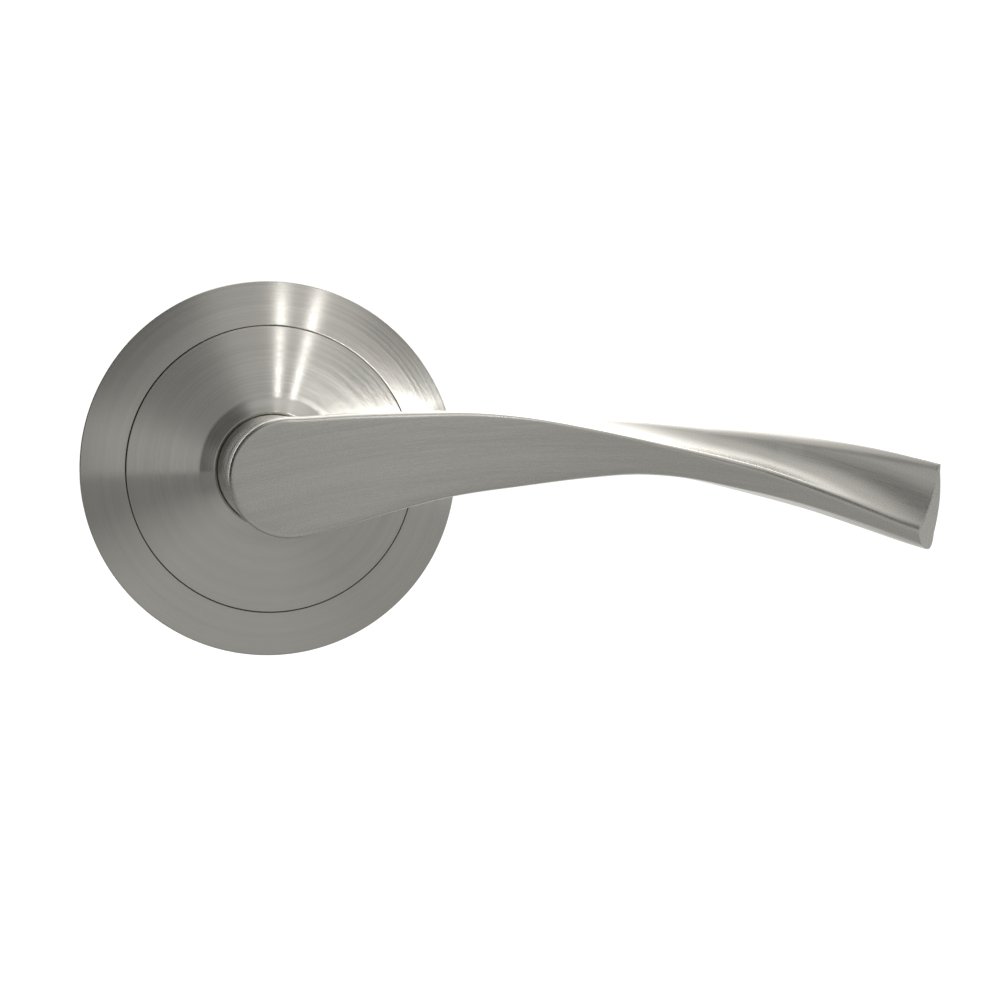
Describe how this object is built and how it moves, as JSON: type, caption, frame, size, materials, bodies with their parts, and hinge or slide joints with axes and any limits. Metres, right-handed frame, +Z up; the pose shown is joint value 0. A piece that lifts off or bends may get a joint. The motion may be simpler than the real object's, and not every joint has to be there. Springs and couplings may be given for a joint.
{
  "type": "door lever handle",
  "caption": "Door lever handle on a round two-piece rose: twisted brushed lever on a round neck, sprung return, square spindle and through bolts behind.",
  "frame": {"origin": "on the spindle axis, in the plane of the door's face that the rose stands on", "axes": "+X along the lever towards its tip, -Y out of the door towards the user, +Z up"},
  "size_m": [0.1416, 0.1124, 0.065],
  "materials": {
    "grip_nickel": "satin nickel, fine brushing along the grip",
    "neck_nickel": "satin nickel, fine turning marks round the neck",
    "ring_nickel": "satin nickel, spun brushing round the spindle axis",
    "disc_nickel": "satin nickel, spun brushing round the spindle axis",
    "zinc_casting": "plain die-cast zinc, slightly rough",
    "plate_steel": "zinc plated pressed steel",
    "zinc_steel": "bright zinc plated steel",
    "spindle_steel": "cold drawn steel bar, zinc plated",
    "black_steel": "blackened hardened steel",
    "spring_steel": "oil tempered spring steel",
    "nylon": "natural nylon",
    "foam": "closed cell foam"
  },
  "bodies": {
    "rose": {"base_plate": "zinc_casting", "rose_ring": "ring_nickel", "rose_disc": "disc_nickel", "neck_bush": "nylon", "cassette_cover": "plate_steel", "cover_screws": "zinc_steel", "stop_pins": "zinc_steel", "return_spring": "spring_steel", "snap_ring": "spring_steel", "through_bolts": "zinc_steel", "fixing_lugs": "zinc_steel", "wood_screws": "zinc_steel", "backing_gasket": "foam"},
    "lever": {"lever_grip": "grip_nickel", "lever_neck": "neck_nickel", "grip_screw": "zinc_steel", "grub_screw": "black_steel", "spindle": "spindle_steel", "rotor": "plate_steel", "drive_pin": "zinc_steel", "circlip": "spring_steel", "thrust_washer": "plate_steel", "wave_washer": "spring_steel"}
  },
  "joints": [
    {"name": "lever_turn", "type": "hinge", "parent": "rose", "child": "lever", "pos_m": [0, 0, 0], "axis": [0, 1, 0], "range_deg": [0, 45], "stiffness_Nm_per_rad": 0.065, "springref_deg": -89.95, "deforming": ["return_spring"]}
  ]
}
